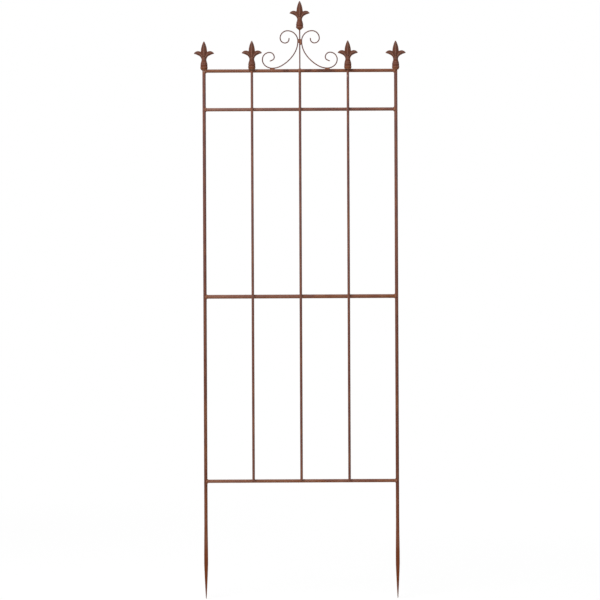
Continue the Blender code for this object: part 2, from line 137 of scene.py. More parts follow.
# Its forms, as shares and powers: cone, bell and calyx, then the leaves
POST_CONE_BULGE = 0.35
ROD_CONE_BULGE = 0.18
STEM_CONE_BULGE = 1
CONE_SHARES = (0, 0.08, 0.2, 0.4, 0.7, 1)
BELL_FALL = 0.8
BELL_TOP_SHARES = (0.80, 0.90, 0.97)
CALYX = ((1, 0), (0.97, 0.12), (0.74, 0.28), (0.34, 0.43), (0, 0.48))
LEAF_EDGE = 0.20
LEAF_BODY = 0.92
RIB_HEIGHT = 0.10
RIB_WIDTH = 0.16
SPEAR_BELLY = 1.07
SPEAR_ROOT = 0.85
SPEAR_WAIST = 0.6
PETAL_STALK = 0.42
PETAL_BELLY = 0.68
PETAL_BLUNTNESS = 6

# Wire scrolls: tangent arcs as (radius, sweep in degrees), from the stem outwards
SCROLL_UPPER_ARCS = ((0.0264, 90), (0.0188, 90), (0.0126, 90), (0.0101, 85), (0.0300, 7))
SCROLL_SWEEP_ARCS = ((0.0603, 33), (0.0920, 29), (0.0466, 28))
SCROLL_LOWER_ARCS = ((0.028, 40), (0.0205, 50), (0.0182, 90), (0.0122, 90), (0.008, 60), (0.03, 16))
SCROLL_STEM_GAP = 0.00175
SCROLL_RAIL_GAP = 0.0009
SCROLL_UNDER_PETAL = 0.0004
SCROLL_PETAL_REACH = 0.0254
SHEARED_ENDS = (0.72, 0.9, 0.97)
STEM_ABOVE_SCROLLS = 0.0014

# Skins: depth and size of the dents, then depth and size of the grain
ROLLED_SKIN = (0.00007, 0.018, 0.00006, 0.0028)
HAMMERED_SKIN = (0.00009, 0.011, 0.00006, 0.0026)
DRAWN_SKIN = (0.00004, 0.012, 0.00004, 0.0022)
CAST_SKIN = (0.00008, 0.007, 0.00010, 0.0013)
BEAD_SKIN = (0.00012, 0.0030, 0.00006, 0.0009)

# Weld beads: the radius of their drops, and how these are laid
RAIL_END_BEAD = 0.00128
ROD_BEAD = 0.00180
STEM_FOOT_BEAD = 0.00135
SCROLL_FOOT_BEAD = 0.00140
SCROLL_STEM_BEAD = 0.00160
DROP_STEP = 0.0008
DROP_VARIATION = 0.11
DROP_FLATNESS = 0.72
BEAD_VOXEL = 0.00028
BEAD_SMOOTHING = 2
BEAD_FOLD_REACH = 6

# Where the beads lie: shares of a bar's radius (ACROSS, COVER) and metres
RAIL_END_INSET = 0.0006
CORNER_ACROSS = 0.84
CORNER_COVER = 0.85
CORNER_FRONT = -0.0018
CORNER_OUT = 0.0005
ROD_END_PAST = 0.0002
ARCH_ACROSS = 0.78
ARCH_RISE = 0.0008
ARCH_OUT = 0.0004
ARCH_GIRTH = 0.75
STEM_FOOT_OUT = 0.0005
STEM_FOOT_RISE = 0.0004
STEM_FOOT_GIRTH = 0.9
SCROLL_FOOT_SPREAD = 0.0011
SCROLL_FOOT_RISE = 0.0006
SCROLL_STEM_SPREAD = 0.0007
SCROLL_FOOT_WELD_LENGTH = 0.0115
STEM_WELD_LENGTHS = {"left": 0.0105, "right": 0.0155}

# Spatter round the welds
SPATTER_PER_JOINT = 7
SPATTER_NEAREST = 0.006
SPATTER_SPREAD = 0.008
SPATTER_SIZES = (0.00018, 0.00055)
SPATTER_FOLD = 0.62

# First seed of each kind of piece
ROD_SEED = 10
POST_SEED = 20
SCROLL_SEED = 30
STEM_SEED = 33
FINIAL_SEED = 40
RAIL_END_SEED = 60
ROD_WELD_SEED = 80
STEM_FOOT_SEED = 110
SCROLL_FOOT_SEED = 120
SCROLL_STEM_SEED = 130
SPATTER_SEED = 5

# Edges bent by more than this stay sharp
SHARP_EDGE = math.radians(50)

# Tones of the rust, and of painted sky light, bounce light and highlights, as linear colours
PURPLE_RUST = (0.129, 0.055, 0.046)
RED_RUST = (0.170, 0.060, 0.032)
ORANGE_RUST = (0.203, 0.064, 0.013)
DEEP_RUST = (0.108, 0.031, 0.0138)
LEG_RUST = (0.164, 0.047, 0.0160)
SOIL_RUST = (0.115, 0.022, 0.001)
DARK_RUST = (0.050, 0.018, 0.011)
PALE_RUST = (0.290, 0.165, 0.130)
PAINTED_SKY_LIGHT = (0.200, 0.115, 0.100)
PAINTED_BOUNCE_LIGHT = (0.190, 0.062, 0.016)
MILL_SCALE = (0.085, 0.046, 0.041)
BURNT_SCALE = (0.074, 0.027, 0.017)
PAINTED_HIGHLIGHT = (0.380, 0.260, 0.220)
DRY_SHEEN = 0.25
CAST_BROWN = (0.089, 0.035, 0.0235)
CAST_RED = (0.116, 0.042, 0.0240)
CAST_HOLLOW = (0.060, 0.020, 0.009)
BELL_RUST = (0.101, 0.021, 0.005)
WELD_ORANGE = (0.260, 0.090, 0.028)

# Where tones change: coordinates at its start and end
DARKENING_TO_RIGHT = (-0.24, 0.20)
LOWER_HALF = (1.45, 0.55)
LEG_ZONE = (0.285, 0.250)
SOIL_ZONE = (0.190, 0.145)
TOP_RAIL_CREST = (1.314, 1.322)

# Depth of the painted relief
BAR_RELIEF = 0.00036
CAST_RELIEF = 0.00042
WELD_RELIEF = 0.00022

# Stretch of the patterns, then spots as (place, reach)
ALONG_X = (0.35, 1, 1)
ALONG_Z = (1, 1, 0.35)
EVEN = (1, 1, 1)
POST_HIGHLIGHTS = (((-0.2390, -0.0035, 1.3235), 0.0042),)
ROD_HIGHLIGHTS = (((0.1185, -0.0095, 1.3100), 0.0040),)
RAIL_BURNS = (
    ((0.0640, -0.0040, 1.3245), 0.030),
    ((0.0210, -0.0040, 1.3245), 0.014),
    ((-0.0350, -0.0040, 1.3245), 0.010),
)

# Stage, lamps and camera
WORLD_LEVEL = 0.36
FLOOR_GREY = (0.9, 0.9, 0.9)
WHITE = (1, 1, 1)
FLOOR_REACH = 9
FLOOR_Z = -0.0004
SHADOW_REACH = 2.8
SHADOW_SHARE = 0.16
LAMPS = (
    ("key_lamp", (-2.0, -3.0, 4.4), 3.4, 276),
    ("fill_lamp", (2.8, -3.2, 1.2), 2.4, 10),
    ("back_lamp", (1.5, 3.4, 2.6), 2.4, 70),
)
LAMP_AIM = (0, 0, 0.8)
SENSOR_WIDTH = 36
CAMERA_DISTANCE = 5.0
PICTURE_HEIGHT = 1.506
CAMERA_X = -0.0021
CAMERA_Z = 0.7490
CAMERA_ROLL = math.radians(0.25)


# Node building


class Socket:
    """An output socket. Arithmetic on it adds Math nodes."""

    def __init__(self, nodes, socket):
        self.nodes = nodes
        self.socket = socket

    def __add__(self, other):
        return self.nodes.math("ADD", self, other)

    def __sub__(self, other):
        return self.nodes.math("SUBTRACT", self, other)

    def __rsub__(self, other):
        return self.nodes.math("SUBTRACT", other, self)

    def __mul__(self, other):
        return self.nodes.math("MULTIPLY", self, other)

    __radd__ = __add__
    __rmul__ = __mul__


class Nodes:
    """Adds nodes to a tree: their settings first, then their sockets."""

    def __init__(self, tree):
        self.tree = tree

    def add(self, kind, settings=None, inputs=None, output=0):
        node = self.tree.nodes.new(kind)
        for name, value in (settings or {}).items():
            setattr(node, name, value)
        for name, value in (inputs or {}).items():
            self.feed(node.inputs[name], value)
        return Socket(self, node.outputs[output])

    def feed(self, target, value):
        if isinstance(value, Socket):
            self.tree.links.new(value.socket, target)
        elif target.type == "RGBA":
            target.default_value = (*value, 1)
        else:
            target.default_value = value

    def math(self, operation, first, second):
        return self.add("ShaderNodeMath", {"operation": operation}, {0: first, 1: second})

    def step(self, value, low, high):
        """0 below low and 1 above high, with a smooth rise, also where high is the lower."""
        return self.add(
            "ShaderNodeMapRange",
            {"interpolation_type": "SMOOTHSTEP"},
            {"Value": value, "From Min": low, "From Max": high},
        )

    def vector(self, operation, inputs, output=0):
        return self.add("ShaderNodeVectorMath", {"operation": operation}, inputs, output)


# Finishes


class Finish(Nodes):
    """A material that is painted by patterns on Object coordinates."""

    def __init__(self, name):
        self.material = bpy.data.materials.new(name)
        self.material.use_nodes = True
        super().__init__(self.material.node_tree)
        self.shader = self.tree.nodes["Principled BSDF"]
        self.place = self.add("ShaderNodeTexCoord", output="Object")

    def placed(self, stretch, shift):
        return self.add(
            "ShaderNodeMapping",
            inputs={"Vector": self.place, "Scale": stretch, "Location": shift},
        )

    def noise(self, scale, detail, stretch=EVEN, shift=(0, 0, 0), roughness=0.55):
        inputs = {"Vector": self.placed(stretch, shift), "Scale": scale, "Detail": detail}
        return self.add("ShaderNodeTexNoise", inputs={**inputs, "Roughness": roughness})

    def cells(self, scale, shift=(0, 0, 0)):
        """Distance from the nearest of many scattered points, for pits and flakes."""
        return self.add(
            "ShaderNodeTexVoronoi",
            {"feature": "F1"},
            {"Vector": self.placed(EVEN, shift), "Scale": scale},
            "Distance",
        )

    def mix(self, share, under, over):
        inputs = {0: share, 6: under, 7: over}
        return self.add("ShaderNodeMix", {"data_type": "RGBA"}, inputs, 2)

    def stored(self, name):
        """A value kept on the points of the mesh."""
        return self.add("ShaderNodeAttribute", {"attribute_name": name}, output="Fac")

    def along(self, axis):
        return self.add("ShaderNodeSeparateXYZ", inputs={0: self.place}, output=axis)

    def near(self, point, reach):
        """1 at a point, falling to 0 at the reach."""
        distance = self.vector("DISTANCE", {0: self.place, 1: point}, "Value")
        return self.step(distance, reach, reach * 0.45)

    def surface(self, colour, roughness, metallic, relief, depth):
        self.feed(self.shader.inputs["Base Color"], colour)
        self.feed(self.shader.inputs["Roughness"], roughness)
        self.feed(self.shader.inputs["Metallic"], metallic)
        self.feed(self.shader.inputs["Specular IOR Level"], DRY_SHEEN)
        bump = self.add(
            "ShaderNodeBump", inputs={"Height": relief, "Distance": depth, "Strength": 1.0}
        )
        self.feed(self.shader.inputs["Normal"], bump)
        return self.material


def rusted_bar(
    name, stretch, warm=0, film=0, left_paling=0, deepening=0.5, right_darkening=0, crest=0, burns=(), highlights=()
):
    """Hot-rolled bar left in the rain: brown rust over the last of its mill scale, with painted sky
    light above, painted bounce light below and painted highlights.
    """
    paint = Finish(name)
    drift = paint.noise(16, 2, stretch)
    patches = paint.noise(62, 4, stretch, (3.1, 0.7, 1.9))
    mottle = paint.noise(290, 5, shift=(0.4, 5.2, 2.2), roughness=0.62)
    grain = paint.noise(1700, 4, shift=(7.7, 1.3, 0.2), roughness=0.68)
    pitted = paint.step(paint.cells(820), 0.30, 0.08) * paint.step(mottle, 0.50, 0.62)
    flaked = paint.step(patches, 0.53, 0.60) * paint.step(mottle, 0.49, 0.38)

    height = paint.along("Z")
    # Darker towards the right end along X, and paler towards the left end.
    rightward = paint.step(paint.along("X"), *DARKENING_TO_RIGHT)
    low = paint.step(height + drift * 0.4, *LOWER_HALF)
    powdery = paint.step(drift + patches * 0.6 + low * 0.12 + warm, 0.92, 1.14)
    colour = paint.mix(paint.step(patches + warm, 0.40, 0.64), PURPLE_RUST, RED_RUST)
    colour = paint.mix(low * deepening, colour, DEEP_RUST)
    colour = paint.mix(rightward * right_darkening, colour, DEEP_RUST)
    colour = paint.mix(powdery * 0.62, colour, ORANGE_RUST)
    colour = paint.mix(paint.step(height, *LEG_ZONE) * 0.6, colour, LEG_RUST)
    colour = paint.mix(paint.step(drift, 0.46, 0.64) * 0.16, colour, DARK_RUST)
    chalk = paint.step(patches + mottle * 0.25, 0.54, 0.76) * film
    colour = paint.mix(chalk + (1 - rightward) * left_paling, colour, PALE_RUST)
    # Painted light: faces turned up are paled as if lit from the sky, and faces turned down are
    # warmed as if lit by light bounced from below.
    sky = paint.stored("sky") + (patches - 0.5) * 0.5
    colour = paint.mix(paint.step(sky, 0.60, 0.95) * 0.38, colour, PAINTED_SKY_LIGHT)
    colour = paint.mix(paint.step(sky, 0.40, 0.08) * 0.55, colour, PAINTED_BOUNCE_LIGHT)
    if crest:
        colour = paint.mix(paint.step(height, *TOP_RAIL_CREST) * crest, colour, ORANGE_RUST)
    colour = paint.mix(flaked * 0.26, colour, MILL_SCALE)
    colour = paint.mix(paint.step(mottle, 0.52, 0.34) * 0.08, colour, DARK_RUST)
    colour = paint.mix(paint.step(grain, 0.50, 0.36) * 0.34, colour, DARK_RUST)
    colour = paint.mix(paint.step(grain, 0.56, 0.70) * 0.26, colour, PALE_RUST)
    soil = paint.step(height + mottle * 0.03 + drift * 0.05, *SOIL_ZONE)
    colour = paint.mix(soil * 0.86, colour, SOIL_RUST)
    colour = paint.mix(pitted * 0.6, colour, DARK_RUST)
    for point, reach in burns:
        burnt = paint.near(point, reach) * paint.step(mottle, 0.34, 0.50)
        colour = paint.mix(burnt * 0.85, colour, BURNT_SCALE)
    # Painted highlights: pale specks at the listed spots near the post and rod tops.
    for point, reach in highlights:
        glinting = paint.near(point, reach) * paint.step(mottle + grain, 0.80, 0.95)
        colour = paint.mix(glinting * 0.6, colour, PAINTED_HIGHLIGHT)
    rough = 0.84 - flaked * 0.24 + grain * 0.10 - soil * 0.05
    relief = mottle * 0.36 + grain * 0.34 - pitted * 0.4 - flaked * 0.14
    return paint.surface(colour, rough, flaked * 0.35, relief, BAR_RELIEF)


def rusted_casting(name):
    """Sand-cast iron: a gritty skin, darker in the hollows and paler on the ridges, with painted
    light lifting its shaded foot.
    """
    paint = Finish(name)
    fold = paint.stored("fold")
    rise = paint.stored("rise")
    patches = paint.noise(120, 4, shift=(2.2, 0.1, 4.4))
    mottle = paint.noise(420, 5, shift=(9.4, 3.2, 1.2), roughness=0.65)
    grain = paint.noise(2300, 3, shift=(1.7, 6.3, 3.2), roughness=0.7)
    holes = paint.step(paint.cells(620, (4, 1, 0)), 0.26, 0.09)
    holes = holes * paint.step(mottle, 0.48, 0.60)
    ridge = paint.step(fold, 0.56, 0.78)
    hollow = paint.step(fold, 0.46, 0.30)
    colour = paint.mix(paint.step(patches, 0.40, 0.62), CAST_BROWN, CAST_RED)
    colour = paint.mix(paint.step(mottle, 0.52, 0.66) * 0.32, colour, ORANGE_RUST)
    colour = paint.mix(paint.step(mottle, 0.54, 0.36) * 0.45, colour, DARK_RUST)
    bell = paint.step(rise + patches * 0.1, 0.43, 0.33)
    petals = paint.step(rise, 0.50, 0.56) * paint.step(rise, 0.80, 0.70)
    colour = paint.mix(bell * 0.6 + petals * 0.25, colour, BELL_RUST)
    # Painted light: the foot cone, shaded under the flange, is lifted to a light orange.
    colour = paint.mix(paint.step(rise, 0.13, 0.05) * 0.45, colour, PAINTED_BOUNCE_LIGHT)
    colour = paint.mix(paint.step(rise, 0.50, 0.62) * 0.15, colour, CAST_HOLLOW)
    colour = paint.mix(hollow * 0.55, colour, CAST_HOLLOW)
    colour = paint.mix(paint.step(grain, 0.50, 0.36) * 0.30, colour, DARK_RUST)
    colour = paint.mix(paint.step(grain, 0.54, 0.66) * 0.16, colour, PALE_RUST)
    colour = paint.mix(ridge * (0.25 + grain * 0.35), colour, PALE_RUST)
    colour = paint.mix(holes * 0.7, colour, DARK_RUST)
    rough = 0.86 - ridge * 0.16 + grain * 0.08
    relief = mottle * 0.45 + grain * 0.45 - holes * 0.5
    return paint.surface(colour, rough, ridge * 0.15, relief, CAST_RELIEF)


def rusted_weld(name):
    """Weld metal that was never ground: bright rust with soot between the ripples."""
    paint = Finish(name)
    fold = paint.stored("fold")
    mottle = paint.noise(380, 4, shift=(5.4, 0.2, 8.2), roughness=0.6)
    grain = paint.noise(2100, 3, shift=(0.7, 4.3, 5.2), roughness=0.7)
    hollow = paint.step(fold, 0.48, 0.34)
    crest = paint.step(fold, 0.55, 0.75)
    colour = paint.mix(paint.step(mottle, 0.40, 0.62), RED_RUST, WELD_ORANGE)
    colour = paint.mix(hollow * 0.6, colour, DARK_RUST)
    colour = paint.mix(crest * (0.2 + grain * 0.4), colour, PALE_RUST)
    rough = 0.74 + grain * 0.12 - crest * 0.14
    relief = mottle * 0.4 + grain * 0.4
    return paint.surface(colour, rough, crest * 0.25, relief, WELD_RELIEF)


# Geometry trees


class Form(Nodes):
    """A Geometry Nodes tree with named inputs, which ends in one material."""

    def __init__(self, name, sizes):
        tree = bpy.data.node_groups.new(name, "GeometryNodeTree")
        super().__init__(tree)
        face = tree.interface
        face.new_socket("Geometry", in_out="INPUT", socket_type="NodeSocketGeometry")
        for size, kind in sizes.items():
            face.new_socket(size, in_out="INPUT", socket_type=f"NodeSocket{kind}")
        face.new_socket("Material", in_out="INPUT", socket_type="NodeSocketMaterial")
        face.new_socket("Geometry", in_out="OUTPUT", socket_type="NodeSocketGeometry")
        self.given = tree.nodes.new("NodeGroupInput")

    def input(self, name):
        return Socket(self, self.given.outputs[name])

    def finish(self, geometry):
        smooth = self.add("GeometryNodeSetShadeSmooth", inputs={"Geometry": geometry})
        real = self.add("GeometryNodeRealizeInstances", inputs={"Geometry": smooth})
        made = self.add(
            "GeometryNodeSetMaterial",
            inputs={"Geometry": real, "Material": self.input("Material")},
        )
        end = self.tree.nodes.new("NodeGroupOutput")
        self.feed(end.inputs[0], made)
        return self.tree


def tube_form():
    """Round bar or wire along a line; the line's girth attribute thins its ends."""
    form = Form("round_bar_on_a_line", {"Radius": "Float", "Sides": "Int"})
    line = form.add("GeometryNodeMeshToCurve", inputs={"Mesh": form.input("Geometry")})
    girth = form.add("GeometryNodeInputNamedAttribute", inputs={"Name": "girth"})
    ring = form.add(
        "GeometryNodeCurvePrimitiveCircle",
        inputs={"Resolution": form.input("Sides"), "Radius": form.input("Radius")},
    )
    tube = form.add(
        "GeometryNodeCurveToMesh",
        inputs={"Curve": line, "Profile Curve": ring, "Scale": girth, "Fill Caps": True},
    )
    return form.finish(tube)


def skin_form():
    """Uneven surface: broad dents and a fine grain, both along the normal."""
    sizes = {"Dent Depth": "Float", "Dent Size": "Float"}
    sizes |= {"Grain Depth": "Float", "Grain Size": "Float", "Seed": "Int"}
    form = Form("rolled_or_cast_skin", sizes)
    normal = form.add("GeometryNodeInputNormal")
    push = 0
    for layer, detail in (("Dent", 2.0), ("Grain", 3.0)):
        each = form.math("DIVIDE", 1.0, form.input(f"{layer} Size"))
        noise = form.add(
            "ShaderNodeTexNoise",
            {"noise_dimensions": "4D"},
            {"W": form.input("Seed"), "Scale": each, "Detail": detail},
        )
        push = (noise - 0.5) * 2.0 * form.input(f"{layer} Depth") + push
    moved = form.add(
        "GeometryNodeSetPosition",
        inputs={
            "Geometry": form.input("Geometry"),
            "Offset": form.vector("SCALE", {0: normal, "Scale": push}),
        },
    )
    return form.finish(moved)


def bead_form():
    """Weld ripples: flattened drops of metal that overlap along a line."""
    sizes = {"Size": "Float", "Spacing": "Float", "Variation": "Float", "Seed": "Int"}
    form = Form("weld_ripples_on_a_line", sizes)
    line = form.add("GeometryNodeMeshToCurve", inputs={"Mesh": form.input("Geometry")})
    points = form.tree.nodes.new("GeometryNodeCurveToPoints")
    points.mode = "LENGTH"
    form.feed(points.inputs["Curve"], line)
    form.feed(points.inputs["Length"], form.input("Spacing"))
    girth = form.add("GeometryNodeInputNamedAttribute", inputs={"Name": "girth"})
    chance = form.add(
        "FunctionNodeRandomValue", {"data_type": "FLOAT"}, {"Seed": form.input("Seed")}, 1
    )
    size = (1.0 + (chance - 0.5) * 2.0 * form.input("Variation")) * form.input("Size")
    size = size * girth
    flat = form.add(
        "ShaderNodeCombineXYZ", inputs={"X": size, "Y": size, "Z": size * DROP_FLATNESS}
    )
    drop = form.add("GeometryNodeMeshIcoSphere", inputs={"Radius": 1.0, "Subdivisions": 3})
    ripples = form.add(
        "GeometryNodeInstanceOnPoints",
        inputs={
            "Points": Socket(form, points.outputs["Points"]),
            "Instance": drop,
            "Rotation": Socket(form, points.outputs["Rotation"]),
            "Scale": flat,
        },
    )
    return form.finish(ripples)


def spatter_form():
    """Small drops of weld metal, one on each point."""
    form = Form("weld_spatter_on_points", {"Least": "Float", "Most": "Float", "Seed": "Int"})
    size = form.add(
        "FunctionNodeRandomValue",
        {"data_type": "FLOAT"},
        {2: form.input("Least"), 3: form.input("Most"), "Seed": form.input("Seed")},
        1,
    )
    drop = form.add("GeometryNodeMeshIcoSphere", inputs={"Radius": 1.0, "Subdivisions": 2})
    spots = form.add("GeometryNodeMeshToPoints", inputs={"Mesh": form.input("Geometry")})
    drops = form.add(
        "GeometryNodeInstanceOnPoints",
        inputs={"Points": spots, "Instance": drop, "Scale": size},
    )
    return form.finish(drops)


# Pieces


def linked(name, mesh):
    piece = bpy.data.objects.new(name, mesh)
    bpy.context.scene.collection.objects.link(piece)
    return piece


def shape(piece, tree, **sizes):
    """Put a geometry tree on a piece, its inputs set by their identifiers."""
    modifier = piece.modifiers.new(tree.name, "NODES")
    modifier.node_group = tree
    for item in tree.interface.items_tree:
        name = item.name.replace(" ", "_").lower()
        if item.in_out == "INPUT" and name in sizes:
            modifier[item.identifier] = sizes[name]


def roughened(piece, skin, seed, material):
    """Put an uneven surface on a piece."""
    sizes = dict(zip(("dent_depth", "dent_size", "grain_depth", "grain_size"), skin))
    shape(piece, SKIN, **sizes, seed=seed, material=material)


def fused(piece, voxel, smoothing):
    """Run the overlapping parts of a piece together, with small fillets."""
    remesh = piece.modifiers.new("run_together", "REMESH")
    remesh.mode = "VOXEL"
    remesh.voxel_size = voxel
    smooth = piece.modifiers.new("fillets", "SMOOTH")
    smooth.factor = 0.5
    smooth.iterations = smoothing


def baked(piece):
    """The piece as a plain mesh with its modifiers applied."""
    now = piece.evaluated_get(bpy.context.evaluated_depsgraph_get())
    mesh = bpy.data.meshes.new_from_object(now)
    name = piece.name
    bpy.data.objects.remove(piece, do_unlink=True)
    mesh.name = name
    return linked(name, mesh)


def keep(mesh, name, values):
    """Store one value on each point of the mesh."""
    mesh.attributes.new(name, "FLOAT", "POINT").data.foreach_set("value", values)


def coordinates(mesh, kind="co"):
    """The points of the mesh, or their normals, as rows of three numbers."""
    rows = np.empty(len(mesh.vertices) * 3, np.float32)
    mesh.vertices.foreach_get(kind, rows)
    return rows.reshape(-1, 3)


def line_mesh(name, runs):
    """Open lines of points; each point is (place, girth)."""
    mesh = bpy.data.meshes.new(name)
    places = [place for run in runs for place, _ in run]
    edges = []
    start = 0
    for run in runs:
        edges += [(start + i, start + i + 1) for i in range(len(run) - 1)]
        start += len(run)
    mesh.from_pydata(places, edges, [])
    keep(mesh, "girth", [size for run in runs for _, size in run])
    return mesh


def cropped_line(start, end, spacing, crop=RIM_WEAR):
    """Points from end to end of a bar, with both rims worn round."""
    start = Vector(start)
    end = Vector(end)
    length = (end - start).length
    count = max(2, round((length - 2 * crop) / spacing))
    along = [0, crop * 0.3, crop]
    along += [crop + (length - 2 * crop) * i / count for i in range(1, count)]
    along += [length - crop, length - crop * 0.3, length]
    rims = [0.80, 0.94, 1.0]
    girths = rims + [1.0] * (count - 1) + rims[::-1]
    return [
        (start.lerp(end, place / length), girth) for place, girth in zip(along, girths)
    ]


def measured_sky(mesh):
    """Store how far each point looks up: 1 to the sky, 0 to the ground, as sky, from which the bar
    finishes paint sky light and bounce light.
    """
    keep(mesh, "sky", coordinates(mesh, "normal")[:, 2] * 0.5 + 0.5)


def measured_fold(mesh, reach):
    """Store how far each point stands out, 1, or lies in a hollow, 0, as fold."""
    count = len(mesh.vertices)
    points = coordinates(mesh).astype(np.float64)
    normals = coordinates(mesh, "normal")
    ends = np.empty(len(mesh.edges) * 2, np.int32)
    mesh.edges.foreach_get("vertices", ends)
    first, second = ends.reshape(-1, 2).T
    degree = np.bincount(ends, minlength=count)[:, None]

    def averaged(values):
        total = np.zeros_like(values)
        for axis in range(values.shape[1]):
            total[:, axis] = np.bincount(first, values[second, axis], count)
            total[:, axis] += np.bincount(second, values[first, axis], count)
        return total / np.maximum(degree, 1)

    relaxed = points
    for _ in range(reach):
        relaxed = averaged(relaxed)
    stand = ((points - relaxed) * normals).sum(axis=1, keepdims=True)
    stand = averaged(averaged(stand))
    spread = np.percentile(np.abs(stand), 90) or 1.0
    keep(mesh, "fold", np.clip(0.5 + 0.25 * stand[:, 0] / spread, 0, 1).astype(np.float32))


def finished(piece, slot, *nodes):
    """Hand a finished piece to the frame in place of its solids."""
    piece.data.set_sharp_from_angle(angle=SHARP_EDGE)
    measured_sky(piece.data)
    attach(piece, "root")
    if nodes:
        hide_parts(*nodes)


def ease(share):
    return share * share * (3 - 2 * share)


# Bars and wires


def bar(node, start, end, radius, sides, spacing, material, seed):
    """A straight rolled bar in place of its solid."""
    piece = linked(f"{node}_bar", line_mesh(node, [cropped_line(start, end, spacing)]))
    shape(piece, TUBE, radius=radius, sides=sides, material=material)
    roughened(piece, ROLLED_SKIN, seed, material)
    finished(baked(piece), "rusted_bar", node)


def rail_radius(rail):
    return MIDDLE_RAIL_RADIUS if rail == "middle_rail" else RAIL_RADIUS


def rails(material, washed_material):
    reach = POST_X - POST_RADIUS - RAIL_END_GAP
    for seed, (node, height) in enumerate(RAIL_Z.items()):
        radius = rail_radius(node)
        ends = [(mirror * reach, radius - RAIL_RADIUS, height) for mirror in (-1, 1)]
        steel = washed_material if node == "upper_rail" else material
        bar(node, *ends, radius, RAIL_SIDES, BAR_STEP, steel, seed)


def rods(material):
    for seed, (node, x) in enumerate(ROD_X.items()):
        foot = (x, ROD_Y, RAIL_Z["bottom_rail"])
        head = RAIL_Z["top_rail"] if node == "centre_rod" else FINIAL_FOOT_Z + SOCKET_GRIP
        top = (x, ROD_Y, head)
        bar(node, foot, top, ROD_RADIUS, ROD_SIDES, BAR_STEP, material, seed + ROD_SEED)


def leg_section(height):
    """Width, thickness and roundness of a post at a height above its tip."""
    if height <= BLADE_TAPER_LENGTH:
        share = height / BLADE_TAPER_LENGTH
        share += BLADE_TAPER_BULGE * share * (1 - share)
        return TIP_WIDTH + (BLADE_WIDTH - TIP_WIDTH) * share, BLADE_THICKNESS, 0.0
    above = height - BLADE_TAPER_LENGTH - BLADE_FLAT_LENGTH
    share = ease(min(1, max(0, above) / BLADE_SPREAD_LENGTH))
    width = BLADE_WIDTH + (2 * POST_RADIUS - BLADE_WIDTH) * share
    thickness = BLADE_THICKNESS + (2 * POST_RADIUS - BLADE_THICKNESS) * share
    return width, thickness, share


def leg_ring(x, height, sides):
    """One section of a post: round above, hammered flat with soft corners below."""
    width, thickness, roundness = leg_section(height)
    tip = min(1, TIP_SHARE + height / TIP_ROUNDING)
    ring = []
    for side in range(sides):
        angle = math.tau * (side + 0.5) / sides
        across = width / 2 * math.cos(angle)
        deep = width / 2 * math.sin(angle)
        flat = thickness / 2
        pressed = deep / (1 + abs(deep / flat) ** CORNER_SHARPNESS) ** (1 / CORNER_SHARPNESS)
        pressed *= 1 + HAMMER_SPREAD * (1 - roundness)
        deep = pressed + (deep - pressed) * ease(roundness)
        deep = math.copysign(min(abs(deep), flat * tip), deep)
        ring.append((x + across * tip, deep, height))
    return ring


def wall(bm, loops):
    """Faces between rings of equally many points."""
    for lower, upper in zip(loops, loops[1:]):
        for i, vertex in enumerate(lower):
            following = (i + 1) % len(lower)
            bm.faces.new((vertex, lower[following], upper[following], upper[i]))


def skinned_rings(rings):
    """A closed skin over equal rings of points, with flat caps."""
    bm = bmesh.new()
    loops = [[bm.verts.new(point) for point in ring] for ring in rings]
    wall(bm, loops)
    bm.faces.new(reversed(loops[0]))
    bm.faces.new(loops[-1])
    return bm


def mesh_of(bm, name):
    bmesh.ops.recalc_face_normals(bm, faces=bm.faces)
    mesh = bpy.data.meshes.new(name)
    bm.to_mesh(mesh)
    bm.free()
    return mesh


def posts(material):
    """The two posts, whose feet are forged to blades that hammer blows left uneven."""
    top = FINIAL_FOOT_Z + SOCKET_GRIP
    for seed, (node, x) in enumerate((("left_post", -POST_X), ("right_post", POST_X))):
        heights = list(TIP_RINGS)
        while heights[-1] < FORGED_HEIGHT:
            heights.append(heights[-1] + FORGED_STEP)
        while heights[-1] < top:
            heights.append(heights[-1] + POST_STEP)
        rings = [leg_ring(x, height, POST_SIDES) for height in heights]
        piece = linked(f"{node}_bar", mesh_of(skinned_rings(rings), node))
        roughened(piece, HAMMERED_SKIN, seed + POST_SEED, material)
        piece = baked(piece)
        for vertex in piece.data.vertices:
            vertex.co.z = max(0, vertex.co.z)
        finished(piece, "rusted_bar", node)


def tangent_arcs(start, heading, arcs, scale):
    """Points along arcs that follow each other smoothly, all bending left."""
    points = [Vector(start)]
    for radius, sweep in arcs:
        radius *= scale
        sweep = math.radians(sweep)
        steps = max(6, round(radius * sweep / WIRE_STEP))
        inward = Vector((-math.sin(heading), math.cos(heading)))
        centre = points[-1] + inward * radius
        for step in range(1, steps + 1):
            angle = heading + sweep * step / steps - math.pi / 2
            points.append(centre + Vector((math.cos(angle), math.sin(angle))) * radius)
        heading += sweep
    return points


def scroll_route(scale):
    """The right scroll's centre line from its stem touch, and its rail touch."""
    down = tangent_arcs((0, 0), -math.pi / 2, SCROLL_SWEEP_ARCS, scale)
    rail_touch = down[-1].copy()
    lower = tangent_arcs(rail_touch, 0, SCROLL_LOWER_ARCS, scale)
    upper = tangent_arcs((0, 0), -math.pi / 2, SCROLL_UPPER_ARCS, scale)
    upper = [Vector((point.x, -point.y)) for point in upper]
    return upper[:0:-1] + down + lower[1:], rail_touch


